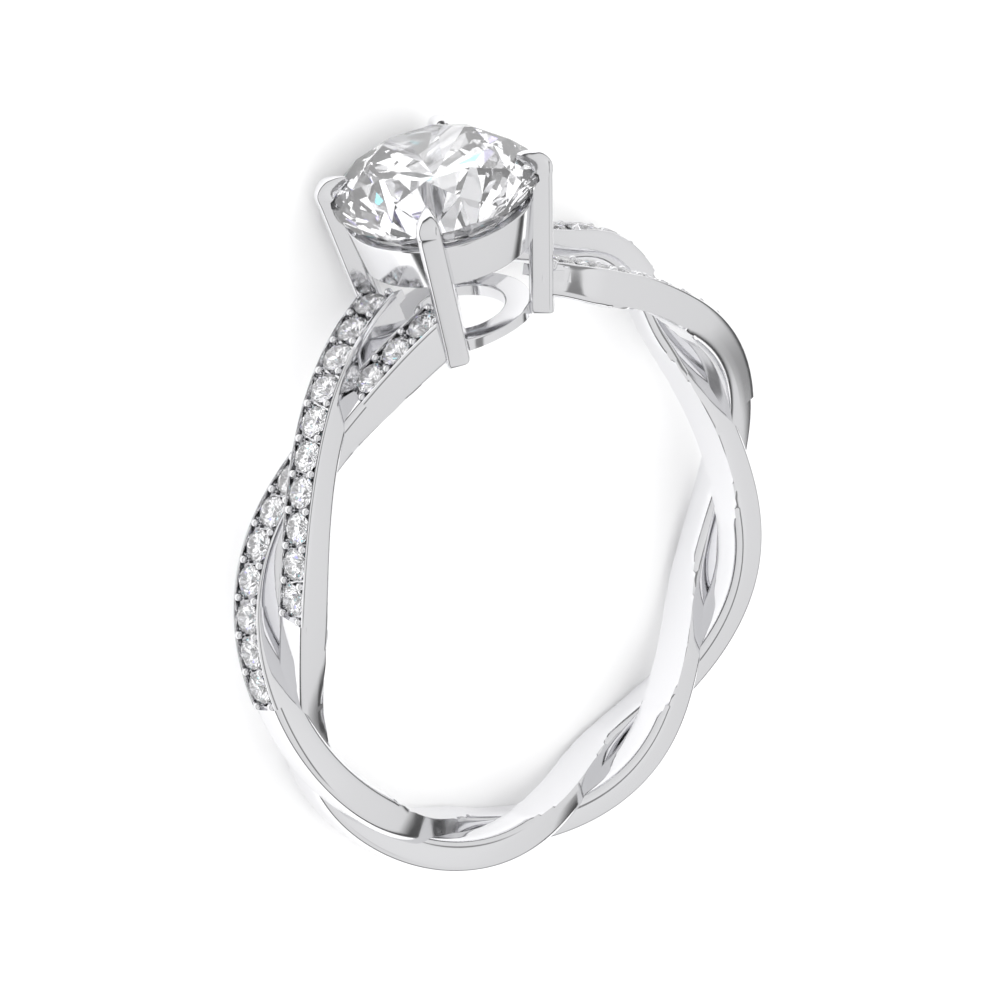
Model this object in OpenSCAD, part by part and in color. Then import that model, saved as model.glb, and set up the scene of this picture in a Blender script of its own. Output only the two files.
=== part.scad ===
// Ring of two polished strands that wind round each other, with small round stones
// along the shoulders and one round brilliant held by four claws.
// Millimetres. The ring is built standing, with the head at +Z and the finger along Y,
// and is then laid on its side as it rests by itself, with +Z up.

/* [Finger] */
// Bore across the finger, US size 7
finger_d = 17.3; // [16.5:0.1:18.5]

/* [Strands] */
// Width of one strand across its path
strand_w = 1.25; // [1.2:0.05:1.4]
// Height of the strands' outer faces above the finger, midway between two crossings
strand_top = 1.34; // [1.3:0.01:1.4]
// Thickness of one strand midway between two crossings
strand_t = 1.2; // [1.16:0.02:1.3]
// Rounding of the polished outer edges
edge_r = 0.3; // [0.15:0.05:0.4]
// Extra height of the shoulders near the head
shoulder_rise = 0.4; // [0.2:0.02:0.5]
// How far a strand moves out or in where it passes over or under the other
over_under = 0.37; // [0.3:0.01:0.42]
// Extra height of the back strand where it bulges on the right shoulder
bulge = 0.41; // [0.2:0.01:0.45]
// Sideways swing of a strand midway between two crossings that are 55 degrees apart
swing_w = 0.935; // [0.88:0.005:1]
// Crossing on the left shoulder, in degrees from the head going left
cross_1 = 37.1; // [34:0.1:40]
// Crossing on the left side
cross_2 = 93.5; // [91:0.1:97]
// Crossing at the lower left
cross_3 = 140.4; // [137:0.1:143]
// Crossing at the bottom
cross_4 = 181.8; // [179:0.1:185]
// Crossing at the lower right
cross_5 = 221.4; // [218:0.1:225]
// Crossing on the right side
cross_6 = 270.2; // [267:0.1:273]

/* [Head] */
// Diameter of the centre stone
stone_d = 6.5; // [6.3:0.1:6.6]
// Height of the centre stone's girdle above the finger
stone_rise = 4.55; // [4.45:0.05:4.75]
// Side of a claw's rounded square section
claw_s = 0.76; // [0.7:0.02:0.85]
// How far the claws' centres lie outside the stone's edge, at the top
claw_out = 0.1; // [0.06:0.01:0.16]
// How far the claws lean inwards from there to the finger, along each centre plane
claw_lean = 0.59; // [0.5:0.01:0.66]
// How far the basket band's top lies inside the stone's edge
basket_in = 0.27; // [0.2:0.01:0.34]
// How much the basket band's radius narrows from its top to its bottom
basket_taper = 0.28; // [0.2:0.02:0.36]
// Height of the basket band
basket_h = 1.45; // [1.2:0.05:1.6]
// Height of the gallery's flat top above the finger
gallery_rise = 0.3; // [0.25:0.05:0.45]

/* [Small stones] */
// Diameter of a small stone
melee_d = 1; // [0.9:0.01:1.01]
// Distance from one small stone's centre to the next
melee_pitch = 1.14; // [1.14:0.01:1.18]
// Diameter of a bead
bead_d = 0.26; // [0.22:0.02:0.28]
// Height of a small stone's table above the strand's top
melee_rise = 0.06; // [0:0.01:0.1]
// Width of the bright-cut edge beside the stones
bright_cut = 0.12; // [0.08:0.01:0.14]

/* [Resting] */
// Tip of the finger axis towards the head as the ring lies
rest_pitch = 5; // [4.5:0.1:5.5]
// Tip of the finger axis towards the left as the ring lies
rest_roll = 0.4; // [-0.2:0.1:1]

/* [Hidden] */
finger_r = finger_d / 2;
outer_r = finger_r + strand_top;
stone_z = finger_r + stone_rise;
// Claw centres from the head's centre planes, at the top and at the finger
claw_top = (stone_d / 2 + claw_out) / sqrt(2);
claw_foot = claw_top - claw_lean;
basket_top_r = stone_d / 2 - basket_in;
basket_foot_r = basket_top_r - basket_taper;
// The lower gallery ring reaches this far into the claws' feet
gallery_sink = 0.08;
gallery_r = claw_foot * sqrt(2) - claw_s / 2 + gallery_sink;

// Strands: most depth cut off again by the bore, and the soft inner edge
sink = 0.12;
inner_edge = 0.36;
// Part of its lift by which a strand is thinner where it passes over
over_thin = 0.26;
// Stretch between two crossings, in degrees, for which the swing is given
swing_span = 55;
// Part of an edge radius at which its middle corner lies
soft = 0.293;
// Degrees over which the strands change from over to under at the head
shoulder_span = 52.5;
// Degrees from the head over which the extra shoulder height fades
shoulder_fade = 50;
// Middle of the bulge on the right shoulder, and how far it reaches to each side
bulge_at = 310;
bulge_reach = 17;
// Where the back and the front strand start to run level towards the right claws, and
// over how many degrees they do so
level_from = [312, 330];
level_run = 23;
// Angle at which the strands end under the head, and at which the right ones
// start to bend into their claws, narrowing by this part
arm_end = 11;
claw_run = 337;
claw_narrowing = 0.3;
arm_steps = 66;
// Flat channel in which the small stones sit
channel_depth = 0.1;
channel_slope = 0.08;
channel_edge = 0.05;

// Claw's bend above the girdle, its corner radius, and its tip: reach, thickness at root
// and end in parts of claw_s, and droop in degrees
claw_bend = 0.42;
claw_corner = 0.16;
tip_reach = 0.5;
tip_root = 0.95;
tip_part = 0.72;
tip_droop = 10;
// Basket's top below the girdle, and thickness of the two bands
basket_drop = 0.62;
basket_wall = 0.5;
gallery_wall = 0.8;
// Depth inside the finger from which the head is built, cut off again by the bore
head_sink = 1;

// Clearance round every stone
stone_gap = 0.03;
// Bead's foot below the small stones' tables, and its height
bead_sink = 0.3;
bead_h = 0.34;
// How far the seats are cut above the tables, and a row's channel past its end stones
// in parts of the stones' pitch
seat_over = 0.4;
row_over = 0.6;
// Sides of the round shapes
seat_side = 8;
bead_side = 6;
claw_side = 8;
head_side = 40;
bore_side = 180;

// Centre stone, as parts of its diameter
table_r = 0.29 * stone_d;
crown_h = 0.165 * stone_d;
girdle_h = 0.03 * stone_d;
pavilion_h = 0.43 * stone_d;

// Small stone, as parts of its diameter
melee_table_r = 0.28 * melee_d;
melee_crown_h = 0.15 * melee_d;
melee_girdle_h = 0.04 * melee_d;
melee_pavilion_h = 0.42 * melee_d;

// Rows of small stones: strand, first angle, number of stones, direction
left_back = [1, 14, 10, 1];
left_front_top = [-1, 14, 3, 1];
left_front_side = [-1, 49, 7, 1];
right_back = [1, 344, 7, -1];
right_front = [-1, 344, 11, -1];
rows = [left_back, left_front_top, left_front_side, right_back, right_front];

// Start of the stretch between two crossings that holds angle t, and its length
function stretch(t) =
    t < cross_1 ? [cross_6 - 360, cross_1 + 360 - cross_6, -1] :
    t < cross_2 ? [cross_1, cross_2 - cross_1, 1] :
    t < cross_3 ? [cross_2, cross_3 - cross_2, -1] :
    t < cross_4 ? [cross_3, cross_4 - cross_3, 1] :
    t < cross_5 ? [cross_4, cross_5 - cross_4, -1] :
    t < cross_6 ? [cross_5, cross_6 - cross_5, 1] :
    [cross_6, cross_1 + 360 - cross_6, -1];
function phase(t) = let (s = stretch(t)) 180 * (t - s[0]) / s[1];
function over_phase(t) =
    t < cross_6 ? (t < cross_1 ? 180 + 180 * (t - cross_1) / shoulder_span : phase(t))
                : min(180, 180 * (t - cross_6) / shoulder_span);
// How far a strand has run into its claw, 0 to 1
function join(t) = t < claw_run ? 0 :
    0.5 - 0.5 * cos(180 * (t - claw_run) / (360 - arm_end - claw_run));
// Sideways place of strand 1, and of strand 2 with the other sign
function free_side(t) = let (s = stretch(t)) -s[2] * swing_w * s[1] / swing_span * sin(phase(t));
function side(k, t) = let (j = join(t)) k * (free_side(t) * (1 - j) + claw_foot * j);
// How much of its lift a strand keeps towards the right claws, 1 to 0
function kept(k, t) = let (p = (t - level_from[k > 0 ? 0 : 1]) / level_run)
    0.5 + 0.5 * cos(180 * min(1, max(0, p)));
function bulged(k, t) = k < 0 ? 0 :
    bulge * (0.5 + 0.5 * cos(180 * min(1, abs(t - bulge_at) / bulge_reach)));
// Over or under
function lift(k, t) = let (s = stretch(t), p = max(90, over_phase(t)))
    k * s[2] * over_under * cos(t < cross_1 ? p : over_phase(t)) * kept(k, t) + bulged(k, t);
function near_head(t) = let (a = min(t, 360 - t))
    a > shoulder_fade ? 0 : 0.5 + 0.5 * cos(180 * a / shoulder_fade);
function top_r(k, t) = outer_r + shoulder_rise * near_head(t) + lift(k, t);
// The left shoulder is thicker by its rise, the right one is lifted with it
function low_r(k, t) = max(finger_r - sink, top_r(k, t) - strand_t + over_thin * lift(k, t)
    - (t < 180 ? shoulder_rise * near_head(t) : 0));
function slope(k, t) = atan((side(k, t + 0.5) - side(k, t - 0.5)) * 180 / PI / top_r(k, t));
// How steeply a strand's top climbs with the angle
function climb(k, t) = atan((top_r(k, t + 0.5) - top_r(k, t - 0.5)) * 180 / PI / top_r(k, t));
// A place on strand k at angle t, u across its path and at radius r
function at(k, t, u, r) =
    let (b = slope(k, t), a = t - u * sin(b) / r * 180 / PI)
    [-r * sin(a), side(k, t) + u * cos(b), r * cos(a)];

// Angle of the stone numbered i in a row, and degrees from it to the next one
function melee_turn(w, t) = melee_pitch * cos(slope(w[0], t)) / top_r(w[0], t) * 180 / PI;
function melee_at(w, i) = i <= 0 ? w[1] + i * w[3] * melee_turn(w, w[1])
    : let (t = melee_at(w, i - 1)) t + w[3] * melee_turn(w, t);
rows_span = [for (w = rows) let (a = melee_at(w, -row_over), b = melee_at(w, w[2] - 1),
    c = b + row_over * w[3] * melee_turn(w, b)) [w[0], min(a, c), max(a, c)]];
// Is there a row of small stones here
function row_at(k, t) = len([for (w = rows_span) if (w[0] == k && t > w[1] && t < w[2]) 1]);

function half_section(k, t) = let (
    p = row_at(k, t), h = strand_w / 2 * (1 - claw_narrowing * join(t)),
    e = p > 0 ? channel_edge : edge_r, w = inner_edge,
    r = top_r(k, t), low = low_r(k, t))
    [[h - (p > 0 ? bright_cut + channel_slope : 2 * edge_r), r - (p > 0 ? channel_depth : 0)],
     [h - (p > 0 ? bright_cut : edge_r), r],
     [h - soft * e, r - soft * e], [h, r - e],
     [h, low + w], [h - soft * w, low + soft * w], [h - w, low]];
function section(k, t) = let (s = half_section(k, t), n = len(s))
    [for (i = [0:n - 1]) at(k, t, s[i][0], s[i][1]),
     for (i = [0:n - 1]) at(k, t, -s[n - 1 - i][0], s[n - 1 - i][1])];

function middle(ring) = [for (a = [0:2]) [for (p = ring) p[a]] * [for (p = ring) 1 / len(ring)]];

module sweep(rings) {
    n = len(rings[0]);
    m = len(rings);
    polyhedron(
        points = [for (r = rings) each r, middle(rings[0]), middle(rings[m - 1])],
        faces = [
            for (i = [0:n - 1]) let (q = (i + 1) % n)
                each [[i, q, m * n], [(m - 1) * n + q, (m - 1) * n + i, m * n + 1]],
            for (j = [0:m - 2]) for (i = [0:n - 1]) let (q = (i + 1) % n)
                each [[j * n + i, (j + 1) * n + q, j * n + q],
                      [j * n + i, (j + 1) * n + i, (j + 1) * n + q]]],
        convexity = 8);
}

module strand(k) {
    sweep([for (j = [0:arm_steps]) section(k, arm_end + (360 - 2 * arm_end) * j / arm_steps)]);
}

// Turns z up to point out of the ring at a small stone's place
module stand(k, t, u = 0) {
    p = at(k, t, u, top_r(k, t) + melee_rise);
    translate(p) rotate([0, -t, 0]) rotate([0, 0, -slope(k, t)]) rotate([0, climb(k, t), 0])
        children();
}

module seats(w) {
    for (i = [0:w[2] - 1]) stand(w[0], melee_at(w, i))
        rotate_extrude($fn = seat_side) polygon([
            [0, seat_over], [melee_d / 2 + stone_gap, seat_over],
            [melee_d / 2 + stone_gap, -melee_crown_h - melee_girdle_h - stone_gap],
            [0, -melee_crown_h - melee_girdle_h - melee_pavilion_h - 2 * stone_gap]]);
}

module beads(w) {
    for (i = [0:w[2]]) for (s = [-1, 1])
        let (a = melee_at(w, i - 1), t = i == 0 ? melee_at(w, -0.5) : a + w[3] * melee_turn(w, a) / 2)
            stand(w[0], t, s * (strand_w / 2 - bright_cut - bead_d / 2))
            translate([0, 0, -bead_sink]) cylinder(d = bead_d, h = bead_h, $fn = bead_side);
}

// A brilliant with its girdle's middle at the origin
module brilliant(d, table, crown, girdle, pavilion) {
    r = d / 2;
    star_z = 0.62;
    star_r = (table * star_z + r * (1 - star_z)) / cos(22.5);
    low_z = 0.8;
    low_r = r * (1 - low_z) / cos(22.5);
    polyhedron(
        points = [
            for (i = [0:7]) [table * cos(45 * i), table * sin(45 * i), girdle / 2 + crown],
            for (i = [0:7]) [star_r * cos(45 * i + 22.5), star_r * sin(45 * i + 22.5),
                             girdle / 2 + crown * star_z],
            for (i = [0:15]) [r * cos(22.5 * i), r * sin(22.5 * i), girdle / 2],
            for (i = [0:15]) [r * cos(22.5 * i), r * sin(22.5 * i), -girdle / 2],
            for (i = [0:7]) [low_r * cos(45 * i + 22.5), low_r * sin(45 * i + 22.5),
                             -girdle / 2 - pavilion * low_z],
            [0, 0, -girdle / 2 - pavilion]],
        faces = [
            [for (i = [0:7]) 7 - i],
            for (i = [0:7]) let (n = (i + 1) % 8, b = (i + 7) % 8, g = 16 + 2 * i,
                                 h = g + 1, f = 16 + (2 * i + 2) % 16)
                each [[i, n, 8 + i], [i, 8 + i, g], [i, g, 8 + b],
                      [8 + i, h, g], [8 + i, f, h],
                      [g, h, h + 16], [g, h + 16, g + 16],
                      [h, f, f + 16], [h, f + 16, h + 16],
                      [g + 16, h + 16, 48 + i], [h + 16, f + 16, 48 + i],
                      [g + 16, 48 + i, 56], [g + 16, 56, 48 + b]]],
        convexity = 2);
}

// A small stone with its table at the origin
module melee() {
    r = melee_d / 2;
    a = -melee_crown_h;
    b = a - melee_girdle_h;
    polyhedron(
        points = [
            for (i = [0:7]) [melee_table_r * cos(45 * i), melee_table_r * sin(45 * i), 0],
            for (i = [0:7]) [r * cos(45 * i), r * sin(45 * i), a],
            for (i = [0:7]) [r * cos(45 * i), r * sin(45 * i), b],
            [0, 0, b - melee_pavilion_h]],
        faces = [
            [for (i = [0:7]) 7 - i],
            for (i = [0:7]) let (n = (i + 1) % 8)
                each [[i, n, 8 + n], [i, 8 + n, 8 + i],
                      [8 + i, 8 + n, 16 + n], [8 + i, 16 + n, 16 + i],
                      [16 + i, 16 + n, 24]]],
        convexity = 2);
}

module row(w) {
    for (i = [0:w[2] - 1]) stand(w[0], melee_at(w, i)) melee();
}

// Rounded square rod
module claw_rod(length) {
    c = claw_corner;
    linear_extrude(length) {
        square([claw_s - 2 * c, claw_s], center = true);
        square([claw_s, claw_s - 2 * c], center = true);
        for (x = [-1, 1]) for (y = [-1, 1])
            translate([x * (claw_s / 2 - c), y * (claw_s / 2 - c)]) circle(r = c, $fn = 8);
    }
}

module claw() {
    foot_z = finger_r - head_sink;
    top_z = stone_z + claw_bend;
    drop = head_sink * (claw_top - claw_foot) / (top_z - finger_r);
    x0 = (claw_foot - drop) * sqrt(2);
    x1 = claw_top * sqrt(2);
    length = sqrt((x1 - x0) * (x1 - x0) + (top_z - foot_z) * (top_z - foot_z));
    tilt = atan((x1 - x0) / (top_z - foot_z));
    translate([x0, 0, foot_z]) rotate([0, tilt, 0]) {
        claw_rod(length);
        translate([0, 0, length]) sphere(d = claw_s, $fn = claw_side);
        translate([0, 0, length]) rotate([0, tip_droop - 90 - tilt, 0]) {
            cylinder(d1 = claw_s * tip_root, d2 = claw_s * tip_part, h = tip_reach, $fn = claw_side);
            translate([0, 0, tip_reach]) sphere(d = claw_s * tip_part, $fn = claw_side);
        }
    }
}

module basket() {
    top_z = stone_z - basket_drop;
    rotate_extrude($fn = head_side) polygon([
        [basket_foot_r - basket_wall, top_z - basket_h], [basket_foot_r, top_z - basket_h],
        [basket_top_r, top_z], [basket_top_r - basket_wall, top_z]]);
}

module gallery() {
    rotate_extrude($fn = head_side) translate([gallery_r - gallery_wall, finger_r - head_sink])
        square([gallery_wall, head_sink + gallery_rise]);
}

module head() {
    for (i = [0:3]) rotate([0, 0, 45 + 90 * i]) claw();
    basket();
    gallery();
}

// The room that the centre stone needs in the claws and basket
module stone_room() {
    g = stone_gap;
    r = stone_d / 2 + g;
    translate([0, 0, stone_z]) rotate_extrude($fn = head_side) polygon([
        [0, girdle_h / 2 + crown_h + 2 * g], [table_r + g, girdle_h / 2 + crown_h + 2 * g],
        [r, girdle_h / 2 + g], [r, -girdle_h / 2 - g],
        [0, -girdle_h / 2 - pavilion_h - 2 * g]]);
}

// Cutter for the finger's bore, longer than the shank is wide
module bore() {
    translate([0, stone_d, 0]) rotate([90, 0, 0])
        cylinder(r = finger_r, h = 2 * stone_d, $fn = bore_side);
}

// From standing to lying as it rests
module lay() {
    rotate([rest_pitch, rest_roll, 0]) rotate([-90, 0, 0]) children();
}

// The casting: all its metal as one mesh, so that the finger's bore can be cut true
module casting() {
    resize([0, 0, 0]) {
        difference() {
            union() {
                strand(1);
                strand(-1);
                head();
            }
            stone_room();
            for (w = rows) seats(w);
        }
        for (w = rows) beads(w);
    }
}

module ring_metal() {
    color([0.84, 0.84, 0.85]) lay() difference() {
        casting();
        bore();
    }
}

module centre_stone() {
    color([0.93, 0.95, 0.98]) lay() translate([0, 0, stone_z])
        brilliant(stone_d, table_r, crown_h, girdle_h, pavilion_h);
}

module pave_left_back() { color([0.9, 0.93, 0.97]) lay() row(left_back); }
module pave_left_front() {
    color([0.9, 0.93, 0.97]) lay() {
        row(left_front_top);
        row(left_front_side);
    }
}
module pave_right_back() { color([0.9, 0.93, 0.97]) lay() row(right_back); }
module pave_right_front() { color([0.9, 0.93, 0.97]) lay() row(right_front); }

ring_metal();
centre_stone();
pave_left_back();
pave_left_front();
pave_right_back();
pave_right_front();
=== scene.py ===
# A solitaire ring of two polished strands wound round each other, with small stones set
# along both shoulders and one round brilliant held by four claws over a basket.
# Its shapes are worked out in millimetres with the ring standing, head at +Z and finger
# along Y, and are laid on their side, in metres, when each piece is made.
from math import atan, cos, degrees, pi, radians, sin, sqrt, tan

import bmesh
import bpy
from mathutils import Matrix, Vector


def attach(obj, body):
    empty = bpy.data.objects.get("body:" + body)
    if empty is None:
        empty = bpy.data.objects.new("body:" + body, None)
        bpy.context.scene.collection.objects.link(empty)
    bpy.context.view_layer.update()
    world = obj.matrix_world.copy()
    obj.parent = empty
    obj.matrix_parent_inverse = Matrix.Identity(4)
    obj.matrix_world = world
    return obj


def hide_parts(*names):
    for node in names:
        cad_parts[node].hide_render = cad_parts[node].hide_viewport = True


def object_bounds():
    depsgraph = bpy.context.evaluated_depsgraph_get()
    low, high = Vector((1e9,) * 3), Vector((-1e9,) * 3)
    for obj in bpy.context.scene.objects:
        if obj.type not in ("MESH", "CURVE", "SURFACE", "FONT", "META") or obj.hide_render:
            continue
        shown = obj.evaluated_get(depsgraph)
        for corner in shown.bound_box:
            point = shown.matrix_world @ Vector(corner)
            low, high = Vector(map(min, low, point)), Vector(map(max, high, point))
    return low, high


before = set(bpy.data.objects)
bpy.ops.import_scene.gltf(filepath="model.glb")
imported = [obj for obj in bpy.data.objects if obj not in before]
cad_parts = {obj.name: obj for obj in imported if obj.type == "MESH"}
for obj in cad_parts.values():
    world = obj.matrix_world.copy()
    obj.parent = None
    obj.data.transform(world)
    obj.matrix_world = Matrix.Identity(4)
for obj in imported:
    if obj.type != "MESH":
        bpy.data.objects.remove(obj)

cad_box = [list(corner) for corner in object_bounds()]

# Sizes, in millimetres
finger_r = 8.65

strand_w = 1.25
strand_top = 1.336
strand_t = 1.2
edge_r = 0.3
shoulder_rise = 0.4
over_under = 0.37
swing_w, swing_span = 0.935, 55
bulge, bulge_at, bulge_reach = 0.41, 310, 17
level_from, level_run = {1: 312, -1: 330}, 23
crossings = [37.1, 93.5, 140.4, 181.8, 221.4, 270.2]
shoulder_span = 52.5
shoulder_fade = 50
over_thin = 0.26
inner_edge = 0.36
arm_end = 11
claw_run = 337
claw_narrowing = 0.3

stone_d = 6.5
stone_z = finger_r + 4.55
claw_s = 0.76
claw_top = (stone_d / 2 + 0.1) / sqrt(2)
claw_foot = claw_top - 0.59
basket_top_r, basket_foot_r, basket_h, basket_wall, basket_drop = 2.98, 2.7, 1.45, 0.5, 0.62
gallery_r, gallery_wall, gallery_rise = claw_foot * sqrt(2) - claw_s / 2 + 0.08, 0.8, 0.3

melee_d = 1.0
melee_pitch = 1.14
melee_rise = 0.06
seat_room = 0.015
bead_d, bead_sink = 0.26, 0.035
bright_cut = 0.12
channel_depth = 0.1
web_depth = 0.24
trough_depth = 0.75
# Soft outer edge beside a row of stones, inwards and downwards
soft_in, soft_down = 0.08, 0.26
# How far a channel and a trough run past the end stones, as parts of the stones' pitch
channel_beyond, trough_beyond = 0.6, 0.53
# Fall of a plain strand's top towards its edges
dome = 0.03
# Bevel of a bright-cut edge: inwards, down its wall, and down at its top
lip_in, lip_down, lip_drop = 0.03, 0.06, 0.006
# How far a deep trough's wall runs below the strand's top before it meets the floor
step_down = 0.4
# Steps of a strand's sweep, half the width of the step where a row starts or ends, and how
# near to it no other step may be, in degrees
sweep_steps = 720
hair, mark_room = 0.01, 0.1

# Heights of a claw's straight shaft, with its tilt and corner radius
claw_shaft = (8.3, 9.2, 10.2, 11.2, 12.2, 12.8, 13.2)
shaft_tilt, shaft_corner = 4, 0.16
# Its tip: place out from the head's axis, height, half width, half thickness, tilt, corner
claw_tip = [[3.345, 13.42, 0.372, 0.38, 16, 0.17], [3.3, 13.56, 0.335, 0.365, 36, 0.2],
            [3.18, 13.68, 0.28, 0.33, 54, 0.24], [3.0, 13.755, 0.215, 0.27, 62, 0.21],
            [2.8, 13.83, 0.13, 0.185, 60, 0.13], [2.64, 13.88, 0.05, 0.08, 58, 0.05]]
# Claw feet: rise over the bore and share of the claw's section, from the middle to the rim
foot_steps = ((0, 0.5), (0, 0.84), (0.015, 0.93), (0.06, 0.985), (0.14, 1))
# Lowest height over the bore of the claws' own rings, just above the feet
foot_top = 0.15
claw_steps = 72
# Gap between the claws and the centre stone, and how much smaller than nominal the stone is
claw_gap, centre_ease = 0.012, 0.012
# Height over the girdle's middle at which a claw reaches claw_top
claw_reach = 0.42

# Basket and gallery: clearance to the stone, bevel under it, lowest level and edge radius
stone_room, basket_bevel, gallery_low, rim_r = 0.03, 0.17, 7.9, 0.06

# Rows of small stones: strand, first angle, number of stones, direction
rows = {
    "left_back": [(1, 14, 10, 1)],
    "left_front": [(-1, 14, 3, 1), (-1, 49, 7, 1)],
    "right_back": [(1, 344, 7, -1)],
    "right_front": [(-1, 344, 11, -1)],
}

# Brilliant cuts as parts of the diameter: table radius, crown, girdle, pavilion
centre_cut = [0.29, 0.165, 0.03, 0.43]
melee_cut = [0.28, 0.15, 0.04, 0.42]

# The ring at rest leans on the stone's girdle and on the far edge of the shank
lying = (Matrix.Rotation(radians(0.4), 3, "Y") @ Matrix.Rotation(radians(5), 3, "X")
         @ Matrix.Rotation(radians(-90), 3, "X"))


# The strands' paths
def stretch(t):
    """Start and length of the stretch between two crossings that holds angle t, and its sense."""
    marks = [crossings[-1] - 360] + crossings + [crossings[0] + 360]
    i = max(j for j in range(len(crossings) + 1) if t >= marks[j])
    return marks[i], marks[i + 1] - marks[i], 1 if i % 2 else -1


def near_head(t):
    away = min(t, 360 - t)
    return 0 if away > shoulder_fade else 0.5 + 0.5 * cos(pi * away / shoulder_fade)


def join(t):
    """How far a right-hand strand has run into its claw, from 0 to 1."""
    return 0 if t < claw_run else 0.5 - 0.5 * cos(pi * (t - claw_run) / (360 - arm_end - claw_run))


def side(k, t):
    start, length, sense = stretch(t)
    free = -sense * swing_w * length / swing_span * sin(pi * (t - start) / length)
    return k * (free * (1 - join(t)) + claw_foot * join(t))


def lift(k, t):
    """How far strand k stands out from, or in of, its middle course at angle t."""
    start, length, sense = stretch(t)
    turn = 180 * (t - start) / length
    if t < crossings[0]:
        turn = max(90, 180 + 180 * (t - crossings[0]) / shoulder_span)
    elif t >= crossings[-1]:
        turn = min(180, 180 * (t - crossings[-1]) / shoulder_span)
    kept = 0.5 + 0.5 * cos(pi * min(1, max(0, (t - level_from[k]) / level_run)))
    bulged = bulge * (0.5 + 0.5 * cos(pi * min(1, abs(t - bulge_at) / bulge_reach)))
    return k * sense * over_under * cos(radians(turn)) * kept + (bulged if k > 0 else 0)


def top_r(k, t):
    return finger_r + strand_top + shoulder_rise * near_head(t) + lift(k, t)


def low_r(k, t):
    left = shoulder_rise * near_head(t) if t < 180 else 0
    return top_r(k, t) - strand_t + over_thin * lift(k, t) - left


def slope(k, t):
    return atan(degrees(side(k, t + 0.5) - side(k, t - 0.5)) / top_r(k, t))


def climb(k, t):
    """How steeply the top of strand k climbs with the angle."""
    return atan(degrees(top_r(k, t + 0.5) - top_r(k, t - 0.5)) / top_r(k, t))


def at(k, t, u, r):
    """A place on strand k at angle t, u across its path and at radius r."""
    b = slope(k, t)
    a = radians(t) - u * sin(b) / r
    return Vector((-r * sin(a), side(k, t) + u * cos(b), r * cos(a)))


def stand(k, t, u=0.0, out=0.0):
    """The place and turn of something that stands out of strand k: z outwards, x along it."""
    turn = (Matrix.Rotation(radians(-t), 3, "Y") @ Matrix.Rotation(-slope(k, t), 3, "Z")
            @ Matrix.Rotation(climb(k, t), 3, "Y"))
    return at(k, t, u, top_r(k, t) + out), turn


def melee_turn(row, t):
    return degrees(melee_pitch * cos(slope(row[0], t)) / top_r(row[0], t))


def melee_angles(row):
    """Angles of a row's stones."""
    _, t, count, way = row
    angles = []
    for _ in range(count):
        angles.append(t)
        t += way * melee_turn(row, t)
    return angles


def gap_angles(row):
    """Angles halfway between the stones, with one before the first and one after the last."""
    angles, way = melee_angles(row), row[3]
    first = angles[0] - way * melee_turn(row, angles[0]) / 2
    return [first] + [t + way * melee_turn(row, t) / 2 for t in angles]


def row_span(row, beyond):
    """Lowest and highest angle of a row that runs on by a part of the pitch past its end stones."""
    angles, way = melee_angles(row), row[3]
    ends = (angles[0] - beyond * way * melee_turn(row, angles[0]),
            angles[-1] + beyond * way * melee_turn(row, angles[-1]))
    return min(ends), max(ends)


# Making pieces
def laid(point):
    return lying @ Vector(point) * 0.001


def new_piece(name, points, faces, finish, crease=30):
    """A closed mesh from points in millimetres of the standing ring."""
    mesh = bpy.data.meshes.new(name)
    mesh.from_pydata([laid(p) for p in points], [], faces)
    return as_piece(name, mesh, finish, crease)


def as_piece(name, mesh, finish, crease=30):
    work = bmesh.new()
    work.from_mesh(mesh)
    bmesh.ops.remove_doubles(work, verts=work.verts, dist=1e-7)
    bmesh.ops.dissolve_degenerate(work, edges=work.edges, dist=1e-7)
    bmesh.ops.recalc_face_normals(work, faces=work.faces)
    work.to_mesh(mesh)
    work.free()
    mesh.name = name
    mesh.materials.clear()
    mesh.materials.append(finish)
    if crease:
        mesh.shade_smooth()
        mesh.set_sharp_from_angle(angle=radians(crease))
    piece = bpy.data.objects.new(name, mesh)
    bpy.context.scene.collection.objects.link(piece)
    return piece


def skin(rings, capped=True):
    """Points and faces of a closed skin over rings of equally many points."""
    n = len(rings[0])
    points = [p for ring in rings for p in ring]
    faces = []
    for j in range(len(rings) - 1):
        for i in range(n):
            a, b = j * n + i, j * n + (i + 1) % n
            faces.append((a, b, b + n, a + n))
    if capped:
        for first, ring in ((0, rings[0]), (len(points) - n, rings[-1])):
            middle = sum((Vector(p) for p in ring), Vector()) / n
            points.append(middle)
            faces += [(first + i, first + (i + 1) % n, len(points) - 1) for i in range(n)]
    return points, faces


def turned(profile, steps=144, height=None):
    """A closed solid of revolution about Z from a closed profile of (radius, z) points."""
    rings = []
    for j in range(steps):
        a = 2 * pi * j / steps
        rings.append([(r * cos(a), r * sin(a), height(r * cos(a), z) if height else z)
                      for r, z in profile])
    return skin(rings + [rings[0]], capped=False)


def rounded(corners, r, steps=4):
    """A closed outline with each corner rounded to radius r or less."""
    out = []
    count = len(corners)
    for i in range(count):
        a, b, c = (Vector(corners[(i + j - 1) % count]) for j in range(3))
        to_a, to_c = (a - b).normalized(), (c - b).normalized()
        half = to_a.angle(to_c) / 2
        cut = min(r / tan(half), (a - b).length * 0.45, (c - b).length * 0.45)
        for s in range(steps + 1):
            w = s / steps
            p = b + to_a * cut * (1 - w) ** 2 + to_c * cut * w ** 2
            out.append((p.x, p.y))
    return out


def bore_height(x, z):
    """z, or the height of the finger's bore at x where that is higher."""
    return max(z, sqrt(finger_r ** 2 - x * x)) if abs(x) < finger_r else z


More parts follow.
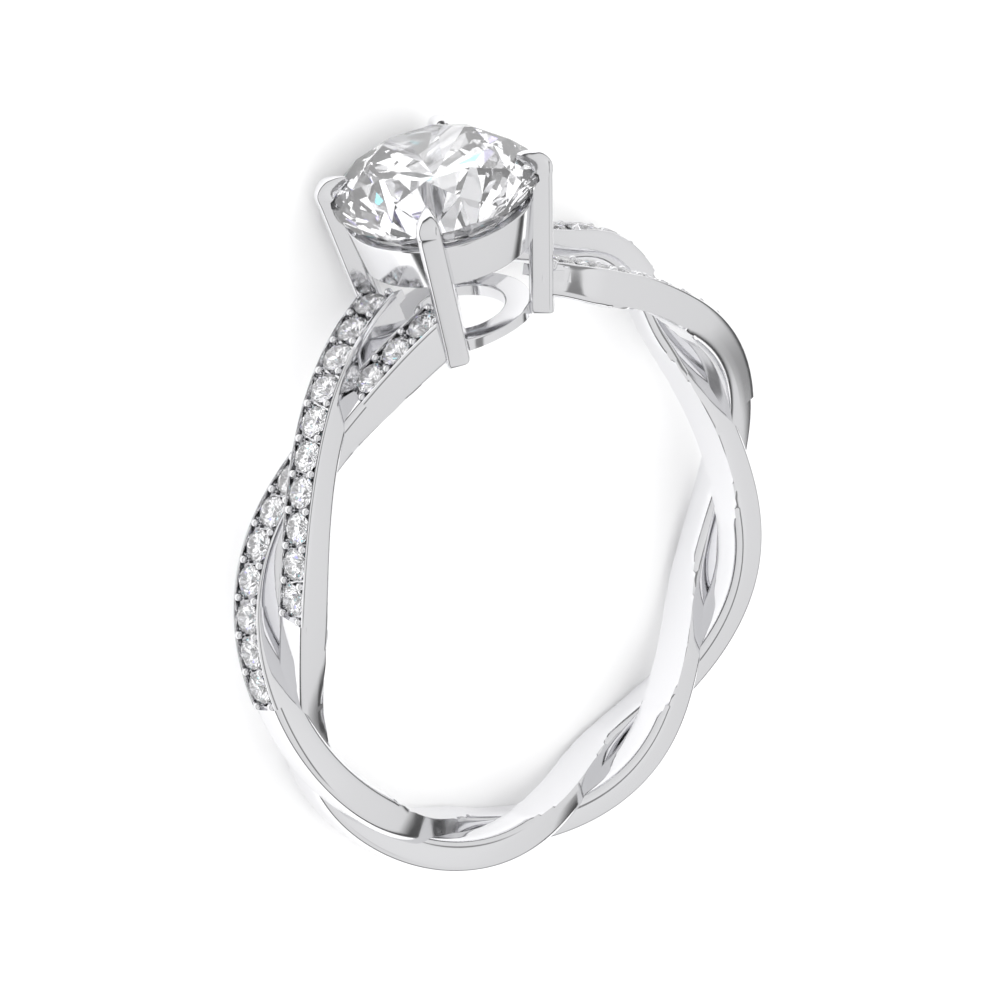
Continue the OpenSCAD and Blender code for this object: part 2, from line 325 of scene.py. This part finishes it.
# Finishes
def linear(colour):
    """Linear colour from an sRGB hex value."""
    parts = [int(colour[i:i + 2], 16) / 255 for i in (1, 3, 5)]
    return [c / 12.92 if c <= 0.04045 else ((c + 0.055) / 1.055) ** 2.4 for c in parts] + [1]


def add(tree, kind, links=None, sockets=None, **settings):
    """Adds one node, with its settings, its sockets' values and the links into it."""
    made = tree.nodes.new(kind)
    for name, value in settings.items():
        setattr(made, name, value)
    for name, value in (sockets or {}).items():
        made.inputs[name].default_value = value
    for name, source in (links or {}).items():
        tree.links.new(source, made.inputs[name])
    return made


def new_finish(name):
    finish = bpy.data.materials.new(name)
    finish.use_nodes = True
    finish.node_tree.nodes.clear()
    return finish, finish.node_tree


def polished_white_gold():
    # Cast 14 carat white gold, sanded, buffed and rhodium plated: a cool, nearly colourless
    # mirror, softened a little by the finest buffing lines.
    finish, tree = new_finish("polished_white_gold_rhodium_plated")
    place = add(tree, "ShaderNodeTexCoord")
    buffing = add(tree, "ShaderNodeTexNoise", {"Vector": place.outputs["Object"]},
                  {"Scale": 2200.0, "Detail": 3.0, "Roughness": 0.6})
    gloss = add(tree, "ShaderNodeMapRange", {"Value": buffing.outputs["Fac"]},
                {"From Min": 0.3, "From Max": 0.7, "To Min": 0.07, "To Max": 0.12})
    waves = add(tree, "ShaderNodeTexNoise", {"Vector": place.outputs["Object"]},
                {"Scale": 420.0, "Detail": 1.0})
    relief = add(tree, "ShaderNodeBump", {"Height": waves.outputs["Fac"]},
                 {"Strength": 0.04, "Distance": 0.00003})
    metal = add(tree, "ShaderNodeBsdfPrincipled",
                {"Roughness": gloss.outputs["Result"], "Normal": relief.outputs["Normal"]},
                {"Base Color": linear("#E9E9EB"), "Metallic": 1.0})
    add(tree, "ShaderNodeOutputMaterial", {"Surface": metal.outputs["BSDF"]})
    return finish


def cut_diamond(name, colour, clear):
    # Colourless diamond, each facet ground flat and polished: all its life comes from its
    # high refraction, so it has no roughness and hardly any colour. The part that isn't
    # clear stands for the white scatter of many facets finer than those modelled.
    finish, tree = new_finish(name)
    gem = add(tree, "ShaderNodeBsdfPrincipled", None,
              {"Base Color": linear(colour), "Roughness": 0.0, "IOR": 2.417,
               "Transmission Weight": clear})
    add(tree, "ShaderNodeOutputMaterial", {"Surface": gem.outputs["BSDF"]})
    return finish


def pale_paper():
    # Matt white studio paper.
    finish, tree = new_finish("matt_white_studio_paper")
    place = add(tree, "ShaderNodeTexCoord")
    fibres = add(tree, "ShaderNodeTexNoise", {"Vector": place.outputs["Object"]},
                 {"Scale": 900.0, "Detail": 2.0})
    relief = add(tree, "ShaderNodeBump", {"Height": fibres.outputs["Fac"]},
                 {"Strength": 0.02, "Distance": 0.00005})
    paper = add(tree, "ShaderNodeBsdfPrincipled", {"Normal": relief.outputs["Normal"]},
                {"Base Color": linear("#F7F7F7"), "Roughness": 0.85})
    add(tree, "ShaderNodeOutputMaterial", {"Surface": paper.outputs["BSDF"]})
    return finish


gold = polished_white_gold()
centre_diamond = cut_diamond("brilliant_cut_diamond", "#FDFDFF", 0.94)
small_diamond = cut_diamond("small_brilliant_cut_diamond", "#FDFDFF", 0.9)


# The two strands
def plain_outline(h, r, low):
    """Half outline of a plain strand as (u, radius), from the top's middle to the bottom's."""
    flat = h - edge_r
    half = [(flat * i / 7, r - dome * (flat * i / 7 / h) ** 2) for i in range(8)]
    edge_z = r - dome * (flat / h) ** 2 - edge_r
    half += [(flat + edge_r * sin(radians(a)), edge_z + edge_r * cos(radians(a)))
             for a in (15, 30, 45, 60, 75, 90)]
    return half + under_outline(h, low)


def set_outline(h, r, low, depth):
    """Half outline of a strand in a row: a channel or trough between two bright-cut edges."""
    wall = h - bright_cut
    floor = r - depth
    half = [(0, floor), (wall * 0.4, floor), (wall * 0.8, floor), (wall, floor),
            (wall, max(floor, r - step_down) if depth > step_down else floor + 0.001),
            (wall, r - lip_down), (wall + lip_in, r - lip_drop)]
    half += [(h - soft_in + soft_in * sin(radians(a)), r - soft_down + soft_down * cos(radians(a)))
             for a in (0, 15, 30, 45, 60, 75, 90)]
    return half + under_outline(h, low)


def under_outline(h, low):
    w = inner_edge
    half = [(h, low + w + 0.25), (h, low + w)]
    half += [(h - w + w * cos(radians(a)), low + w - w * sin(radians(a)))
             for a in (18, 36, 54, 72, 90)]
    return half + [((h - w) / 2, low)]


def strand_ring(k, t, depth):
    h = strand_w / 2 * (1 - claw_narrowing * join(t))
    r, low = top_r(k, t), low_r(k, t)
    half = set_outline(h, r, low, depth) if depth else plain_outline(h, r, low)
    half = half + [(0, low)]
    outline = half + [(-u, z) for u, z in reversed(half[1:-1])]
    return [at(k, t, u, max(z, finger_r)) for u, z in outline]


def strand(k, name):
    """One strand as a closed sweep, with a step wherever a row starts or ends."""
    here = [row for group in rows.values() for row in group if row[0] == k]
    steps = [(arm_end, None), (360 - arm_end, None)]
    channels = [row_span(row, channel_beyond) for row in here]
    troughs = [row_span(row, trough_beyond) for row in here]

    def depth(t):
        if any(a < t < b for a, b in troughs):
            return trough_depth
        return channel_depth if any(a < t < b for a, b in channels) else 0

    marks = sorted(m for span in channels + troughs for m in span if arm_end < m < 360 - arm_end)
    angles = [arm_end + (360 - 2 * arm_end) * i / sweep_steps for i in range(sweep_steps + 1)]
    angles = sorted([t for t in angles if all(abs(t - m) > mark_room for m in marks)]
                    + [m + s * hair for m in marks for s in (-1, 1)])
    rings = [strand_ring(k, t, depth(t)) for t in angles]
    return new_piece(name, *skin(rings), gold)


# Claws, basket and gallery
def spline(stations, count):
    """Smooth run through stations of equally many numbers."""
    run = []
    last = len(stations) - 1
    for s in range(count + 1):
        x = s * last / count
        i = min(int(x), last - 1)
        f = x - i
        a, b, c, d = (stations[min(max(i + j - 1, 0), last)] for j in range(4))
        run.append([0.5 * (2 * q + (r - p) * f + (2 * p - 5 * q + 4 * r - v) * f * f
                           + (3 * q - p - 3 * r + v) * f ** 3)
                    for p, q, r, v in zip(a, b, c, d)])
    return run


def claw_rings(direction):
    """Rings of one claw: a rounded square rod that bends over the crown to a pointed tip."""
    foot_out = claw_foot * sqrt(2)
    top_z = stone_z + claw_reach
    out_per_mm = (claw_top - claw_foot) * sqrt(2) / (top_z - finger_r)
    half = claw_s / 2
    stations = [[foot_out + (z - finger_r) * out_per_mm, z, half, half, shaft_tilt, shaft_corner]
                for z in claw_shaft] + claw_tip
    rings = []
    for out, z, w, thick, tilt, corner in spline(stations, claw_steps):
        along = Vector((-sin(radians(tilt)), 0, cos(radians(tilt))))
        if tilt < 10:
            along = Vector((0, 0, 1))
        normal = Vector((along.z, 0, -along.x))
        c = min(corner, w * 0.98, thick * 0.98)
        ring = []
        for sx, sy, start in ((1, 1, 0), (-1, 1, 90), (-1, -1, 180), (1, -1, 270)):
            for a in (0, 18, 36, 54, 72, 90):
                x = sx * (thick - c) + c * cos(radians(start + a))
                y = sy * (w - c) + c * sin(radians(start + a))
                ring.append(Vector((out, 0, z)) + normal * x + Vector((0, y, 0)))
        rings.append(ring)
    turn = Matrix.Rotation(radians(direction), 3, "Z")
    rings = [[turn @ p for p in ring] for ring in rings]
    # The foot ends flush with the bore, with a soft edge
    body = [ring for ring in rings if min(p.z for p in ring) > finger_r + foot_top]
    middle = sum(body[0], Vector()) / len(body[0])
    push = turn @ Vector((-out_per_mm * (middle.z - finger_r), 0, 0))
    foot = []
    for rise, share in foot_steps:
        ring = [Vector((middle.x + (p.x - middle.x) * share + push.x,
                        middle.y + (p.y - middle.y) * share + push.y, 0)) for p in body[0]]
        foot.append([Vector((p.x, p.y, bore_height(p.x, 0) + rise)) for p in ring])
    return foot + body


def room_for_stone(gap):
    """Points and faces of the space that the centre stone takes, and a little more."""
    table, crown, girdle, pavilion = (part * stone_d for part in centre_cut)
    r = stone_d / 2 + gap
    top, bottom = stone_z + girdle / 2, stone_z - girdle / 2
    axis = 0.001
    return turned([(axis, top + crown + gap), (table, top + crown + gap), (r, top + gap / 2),
                   (r, bottom - gap / 2), (axis, bottom - pavilion - gap)])


def cut_away(piece, points, faces, name):
    """Cuts a shape out of a piece, as a burr cuts a seat."""
    burr = new_piece("burr", points, faces, gold)
    cut = piece.modifiers.new("seat", "BOOLEAN")
    cut.operation, cut.solver, cut.object = "DIFFERENCE", "EXACT", burr
    shape = bpy.data.meshes.new_from_object(
        piece.evaluated_get(bpy.context.evaluated_depsgraph_get()))
    bpy.data.objects.remove(piece)
    bpy.data.objects.remove(burr)
    return as_piece(name, shape, gold, 32)


def claws():
    points, faces = [], []
    for i in range(4):
        p, f = skin(claw_rings(45 + 90 * i))
        faces += [tuple(v + len(points) for v in face) for face in f]
        points += p
    rough = new_piece("rough_claws", points, faces, gold)
    return cut_away(rough, *room_for_stone(claw_gap), "claws")


def basket():
    top = stone_z - basket_drop
    girdle, pavilion = centre_cut[2] * stone_d, centre_cut[3] * stone_d
    flare = pavilion / (stone_d / 2)

    def stone_at(z):
        return stone_d / 2 - (stone_z - girdle / 2 - z) / flare + stone_room

    bevel = top - basket_bevel
    corners = [(basket_foot_r - basket_wall, top - basket_h), (basket_foot_r, top - basket_h),
               (basket_top_r, top), (stone_at(top), top), (stone_at(bevel), bevel)]
    return new_piece("basket", *turned(rounded(corners, rim_r)), gold, 40)


def gallery():
    inner, top = gallery_r - gallery_wall, finger_r + gallery_rise
    corners = [(inner, gallery_low), (gallery_r, gallery_low), (gallery_r, top), (inner, top)]
    outline = rounded(corners, rim_r)
    return new_piece("gallery", *turned(outline, height=bore_height), gold, 40)


# Stones
def cut_stone(name, d, cut, sides, finish):
    """A round brilliant with its girdle's middle at the origin: a round blank that is ground
    flat facet by facet, so that the girdle gets its scalloped edges by itself."""
    table, crown, girdle, pavilion = (part * d for part in cut)
    r = d / 2
    top, bottom = girdle / 2, -girdle / 2
    star_z, low_z = 0.62, 0.8
    star_r = (table * star_z + r * (1 - star_z)) / cos(radians(22.5))
    low_r = r * (1 - low_z) / cos(radians(22.5))

    def spot(angle, radius, z):
        return Vector((radius * cos(radians(angle)), radius * sin(radians(angle)), z))

    facets = [[spot(a, table, top + crown) for a in (0, 120, 240)]]
    for i in range(8):
        a = 45 * i
        level = spot(a + 90, 1, 0)
        star = spot(a + 22.5, star_r, top + crown * star_z)
        low = spot(a + 22.5, low_r, bottom - pavilion * low_z)
        facets.append([spot(a, table, top + crown), spot(a, r, top), spot(a, r, top) + level])
        facets.append([spot(a, table, top + crown), spot(a + 45, table, top + crown), star])
        facets.append([Vector((0, 0, bottom - pavilion)), spot(a, r, bottom),
                       spot(a, r, bottom) + level])
        for g in (0, 22.5):
            facets.append([star, spot(a + g, r, top), spot(a + g + 22.5, r, top)])
            facets.append([low, spot(a + g, r, bottom), spot(a + g + 22.5, r, bottom)])
    stone = bmesh.new()
    bmesh.ops.create_cone(stone, cap_ends=True, segments=sides, radius1=r, radius2=r, depth=2 * d)
    for p, q, s in facets:
        out = (q - p).cross(s - p).normalized()
        out = out if out.dot(p) > 0 else -out
        geom = stone.verts[:] + stone.edges[:] + stone.faces[:]
        bmesh.ops.bisect_plane(stone, geom=geom, dist=d * 1e-5, plane_co=p, plane_no=out,
                               clear_outer=True)
        bmesh.ops.holes_fill(stone, edges=stone.edges[:])
    bmesh.ops.remove_doubles(stone, verts=stone.verts, dist=d * 2e-4)
    bmesh.ops.dissolve_degenerate(stone, edges=stone.edges, dist=d * 2e-4)
    bmesh.ops.recalc_face_normals(stone, faces=stone.faces)
    mesh = bpy.data.meshes.new(name)
    stone.to_mesh(mesh)
    stone.free()
    mesh.materials.append(finish)
    return mesh


def centre_stone():
    mesh = cut_stone("centre_brilliant", stone_d - centre_ease, centre_cut, 96, centre_diamond)
    for v in mesh.vertices:
        v.co = laid(v.co + Vector((0, 0, stone_z)))
    return as_piece("centre_brilliant", mesh, centre_diamond, 0)


# What repeats along a row
def set_along(name, spots, pattern, finish, size=1.0, size_spread=0.0, turn_spread=0.0, seed=1):
    """Sets a pattern on every spot, (place, turn), of a row by Geometry Nodes."""
    mesh = bpy.data.meshes.new(name)
    mesh.from_pydata([laid(place) for place, turn in spots], [], [])
    facing = mesh.attributes.new("facing", "FLOAT_VECTOR", "POINT")
    for i, (place, turn) in enumerate(spots):
        facing.data[i].vector = (lying @ turn).to_euler()
    host = bpy.data.objects.new(name, mesh)
    bpy.context.scene.collection.objects.link(host)

    tree = bpy.data.node_groups.new(name + "_setting", "GeometryNodeTree")
    face = tree.interface
    face.new_socket("Spots", in_out="INPUT", socket_type="NodeSocketGeometry")
    values = {"Pattern": pattern, "Size": size, "Size spread": size_spread,
              "Turn spread": turn_spread, "Seed": seed, "Finish": finish}
    kinds = {"Pattern": "Object", "Seed": "Int", "Finish": "Material"}
    ids = {}
    for label in values:
        socket = face.new_socket(label, in_out="INPUT",
                                 socket_type="NodeSocket" + kinds.get(label, "Float"))
        ids[label] = socket.identifier
    face.new_socket("Setting", in_out="OUTPUT", socket_type="NodeSocketGeometry")

    given = add(tree, "NodeGroupInput").outputs
    shape = add(tree, "GeometryNodeObjectInfo", {"Object": given["Pattern"]})
    stored = add(tree, "GeometryNodeInputNamedAttribute", None, {"Name": "facing"},
                 data_type="FLOAT_VECTOR")
    turn = add(tree, "FunctionNodeEulerToRotation", {"Euler": stored.outputs["Attribute"]})
    least_turn = add(tree, "ShaderNodeMath", {0: given["Turn spread"]}, {1: -1.0},
                     operation="MULTIPLY")
    twist = add(tree, "FunctionNodeRandomValue",
                {"Min": least_turn.outputs[0], "Max": given["Turn spread"], "Seed": given["Seed"]})
    spin = add(tree, "ShaderNodeCombineXYZ", {"Z": twist.outputs["Value"]})
    spun = add(tree, "FunctionNodeRotateRotation",
               {"Rotation": turn.outputs["Rotation"], "Rotate By": spin.outputs["Vector"]},
               rotation_space="LOCAL")
    least, most = (add(tree, "ShaderNodeMath", {0: given["Size"], 1: given["Size spread"]},
                       operation=kind) for kind in ("SUBTRACT", "ADD"))
    scale = add(tree, "FunctionNodeRandomValue",
                {"Min": least.outputs[0], "Max": most.outputs[0], "Seed": given["Seed"]})
    put = add(tree, "GeometryNodeInstanceOnPoints",
              {"Points": given["Spots"], "Instance": shape.outputs["Geometry"],
               "Rotation": spun.outputs["Rotation"], "Scale": scale.outputs["Value"]})
    real = add(tree, "GeometryNodeRealizeInstances", {"Geometry": put.outputs["Instances"]})
    coloured = add(tree, "GeometryNodeSetMaterial",
                   {"Geometry": real.outputs["Geometry"], "Material": given["Finish"]})
    add(tree, "NodeGroupOutput", {"Setting": coloured.outputs["Geometry"]})

    setting = host.modifiers.new("setting", "NODES")
    setting.node_group = tree
    for label, value in values.items():
        setting[ids[label]] = value
    made = bpy.data.meshes.new_from_object(
        host.evaluated_get(bpy.context.evaluated_depsgraph_get()))
    host.modifiers.clear()
    host.data = made
    made.name = name
    if "facing" in made.attributes:
        made.attributes.remove(made.attributes["facing"])
    return host


def as_pattern(name, mesh):
    """A shape in millimetres as a pattern in metres."""
    for v in mesh.vertices:
        v.co = v.co * 0.001
    pattern = bpy.data.objects.new(name, mesh)
    bpy.context.scene.collection.objects.link(pattern)
    return pattern


def bead_pattern():
    """A bead raised with a graver and rounded with a beading tool: a domed, slightly tall grain."""
    grain = bmesh.new()
    bmesh.ops.create_uvsphere(grain, u_segments=14, v_segments=9, radius=bead_d / 2)
    for v in grain.verts:
        if v.co.z < 0:
            v.co.z *= 1.9
            v.co.x *= 1.06
            v.co.y *= 1.06
    mesh = bpy.data.meshes.new("bead_pattern")
    grain.to_mesh(mesh)
    grain.free()
    mesh.shade_smooth()
    return as_pattern("bead_pattern", mesh)


def web_pattern():
    """The metal left between two seats: straight at the bright-cut edges, hollow towards
    both stones."""
    seat = melee_d / 2 + seat_room
    reach = strand_w / 2 - bright_cut
    half = []
    for i in range(13):
        y = -reach + 2 * reach * i / 12
        half.append((melee_pitch / 2 - sqrt(max(seat ** 2 - y * y, 0)), y))
    outline = half + [(-x, y) for x, y in reversed(half)]
    rings = [[Vector((x * s, y, z)) for x, y in outline]
             for z, s in ((-0.6, 1.0), (-web_depth - 0.03, 1.0), (-web_depth, 0.93))]
    points, faces = skin(rings)
    mesh = bpy.data.meshes.new("web_pattern")
    mesh.from_pydata(points, [], faces)
    work = bmesh.new()
    work.from_mesh(mesh)
    bmesh.ops.recalc_face_normals(work, faces=work.faces)
    work.to_mesh(mesh)
    work.free()
    mesh.shade_smooth()
    mesh.set_sharp_from_angle(angle=radians(30))
    return as_pattern("web_pattern", mesh)


def melee_pattern():
    mesh = cut_stone("melee_pattern", melee_d, melee_cut, 24, small_diamond)
    for v in mesh.vertices:
        v.co.z -= (melee_cut[2] / 2 + melee_cut[1]) * melee_d
    return as_pattern("melee_pattern", mesh)


def stone_spots(group):
    return [stand(row[0], t, 0, melee_rise) for row in group for t in melee_angles(row)]


def web_spots(group):
    return [stand(row[0], t) for row in group for t in gap_angles(row)]


def bead_spots(group):
    across = strand_w / 2 - bright_cut - bead_d / 2
    return [stand(row[0], t, s * across, -bead_sink)
            for row in group for t in gap_angles(row) for s in (-1, 1)]


# The ring
metal_pieces = [strand(1, "strand_behind"), strand(-1, "strand_in_front"), claws(), basket(),
                gallery()]
every_row = [row for group in rows.values() for row in group]
bead, web, melee = bead_pattern(), web_pattern(), melee_pattern()
metal_pieces.append(set_along("beads", bead_spots(every_row), bead, gold, 1.0, 0.05, 0.5, 7))
metal_pieces.append(set_along("webs_between_seats", web_spots(every_row), web, gold))
for piece in metal_pieces:
    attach(piece, "root")
    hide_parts("ring_metal")

centre = centre_stone()
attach(centre, "root")
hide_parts("centre_stone")
for number, (name, group) in enumerate(rows.items()):
    stones = set_along("small_brilliants_" + name, stone_spots(group), melee, small_diamond,
                       1.0, 0.0, 0.35, 11 + number)
    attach(stones, "root")
    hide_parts("pave_" + name)
for pattern in (bead, web, melee):
    bpy.data.objects.remove(pattern)


# Floor, light and camera
floor_mesh = bpy.data.meshes.new("studio_floor")
reach, level = 1.5, cad_box[0][2]
floor_mesh.from_pydata([(-reach, -reach, level), (reach, -reach, level),
                        (reach, reach, level), (-reach, reach, level)], [], [(0, 1, 2, 3)])
floor_mesh.materials.append(pale_paper())
studio_floor = bpy.data.objects.new("studio_floor", floor_mesh)
bpy.context.scene.collection.objects.link(studio_floor)

# The camera looks at the middle of the bore, from where the photograph was taken
turn, rise, roll, distance, lens = radians(36.958), radians(29.612), radians(11.387), 0.2371, 271.1
towards_camera = Vector((-sin(turn) * cos(rise), -cos(turn) * cos(rise), sin(rise)))
level_x = Vector((cos(turn), -sin(turn), 0))
level_y = towards_camera.cross(level_x)
right = cos(roll) * level_x - sin(roll) * level_y
up = sin(roll) * level_x + cos(roll) * level_y
axes = Matrix([lying @ right, lying @ up, lying @ towards_camera]).transposed()
camera_data = bpy.data.cameras.new("photo_camera")
camera_data.lens = lens
camera_data.sensor_width = 36
camera_data.shift_x = -0.00949
camera_data.shift_y = 0.0537
camera_data.clip_start = 0.01
camera = bpy.data.objects.new("photo_camera", camera_data)
camera.matrix_world = Matrix.Translation(lying @ towards_camera * distance) @ axes.to_4x4()
bpy.context.scene.collection.objects.link(camera)
bpy.context.scene.camera = camera


# One soft key lamp, from the camera's upper left and in front
lamp = bpy.data.lights.new("key_softbox", "AREA")
lamp.shape = "RECTANGLE"
lamp.size, lamp.size_y = 0.34, 0.26
lamp.energy = 4.0 * pi * lamp.size * lamp.size_y
lamp_way = (axes @ Vector((-0.75, 0.9, 0.45))).normalized()
softbox = bpy.data.objects.new("key_softbox", lamp)
softbox.matrix_world = (Matrix.Translation(lamp_way * 0.5)
                        @ lamp_way.to_track_quat("Z", "Y").to_matrix().to_4x4())
bpy.context.scene.collection.objects.link(softbox)

# Studio walls, which differ for the kinds of light rays. The paper and what lights it by
# diffuse rays see a plain white room. The polished metal mirrors a light grey room that darkens
# in a band above the table, with a thin dark frame overhead round the light panel that its flat
# sides mirror: these two draw the thin dark lines along its edges. The stones look out at a
# bright room with many panels, most of them white, some grey or black and a few tinted, which
# stands for the fire that their refraction makes.
world = bpy.data.worlds.new("pale_studio")
bpy.context.scene.world = world
world.use_nodes = True
room = world.node_tree
room.nodes.clear()
ray = add(room, "ShaderNodeLightPath")
look = add(room, "ShaderNodeTexCoord").outputs["Generated"]


def ramp(source, stops, steady=False):
    """Colours along a value from 0 to 1, each (place, hex or grey level)."""
    made = add(room, "ShaderNodeValToRGB", {"Fac": source})
    band = made.color_ramp
    band.interpolation = "CONSTANT" if steady else "LINEAR"
    band.elements.remove(band.elements[1])
    for place, tone in stops:
        stop = band.elements.new(place) if place else band.elements[0]
        stop.color = linear(tone) if isinstance(tone, str) else (tone, tone, tone, 1)
    return made.outputs["Color"]


def tinted(low, high):
    """One colour times another."""
    mixed = add(room, "ShaderNodeMix", data_type="RGBA", blend_type="MULTIPLY")
    mixed.inputs[0].default_value = 1.0
    room.links.new(low, mixed.inputs[6])
    room.links.new(high, mixed.inputs[7])
    return mixed.outputs[2]


height = add(room, "ShaderNodeSeparateXYZ", {"Vector": look}).outputs["Z"]
bands = ramp(height, ((0.0, 0.5), (0.05, 0.08), (0.13, 0.08), (0.24, 0.8), (0.75, 0.84),
                      (1.0, 0.9)))
frame_way = add(room, "ShaderNodeVectorMath", {0: look}, {1: (0.5227, -0.4941, 0.6947)},
                operation="DOT_PRODUCT")
frame_edge = ramp(frame_way.outputs["Value"], ((0.0, 0.0), (0.57, 0.0), (0.61, 1.0), (0.73, 1.0),
                                               (0.76, 0.0), (1.0, 0.0)))
overhead = ramp(height, ((0.0, 0.0), (0.7, 0.0), (0.8, 1.0), (1.0, 1.0)))
dark_frame = add(room, "ShaderNodeMapRange", {"Value": tinted(frame_edge, overhead)},
                 {"To Min": 1.0, "To Max": 0.3}).outputs["Result"]
mirrored = add(room, "ShaderNodeBackground", {"Color": tinted(bands, dark_frame)})
panels = add(room, "ShaderNodeTexVoronoi", {"Vector": look}, {"Scale": 7.0})
share = add(room, "ShaderNodeSeparateColor", {"Color": panels.outputs["Color"]})
tones = ramp(share.outputs["Red"], ((0.0, 0.01), (0.13, 0.15), (0.27, 0.42), (0.4, 1.0)), True)
tints = ramp(share.outputs["Green"], ((0.0, "#7A6CFF"), (0.045, "#8FF2FF"), (0.07, "#FFFFFF"),
                                      (0.975, "#C9BCFF")), True)
seen_by_stones = add(room, "ShaderNodeBackground", {"Color": tinted(tones, tints)},
                     {"Strength": 1.8})
lighting = add(room, "ShaderNodeBackground", None, {"Color": (1, 1, 1, 1), "Strength": 1.5})
plain = add(room, "ShaderNodeMixShader",
            {0: ray.outputs["Is Glossy Ray"], 1: lighting.outputs[0], 2: mirrored.outputs[0]})
walls = add(room, "ShaderNodeMixShader",
            {0: ray.outputs["Is Transmission Ray"], 1: plain.outputs[0],
             2: seen_by_stones.outputs[0]})
add(room, "ShaderNodeOutputWorld", {"Surface": walls.outputs[0]})
bpy.context.scene.view_settings.view_transform = "Standard"
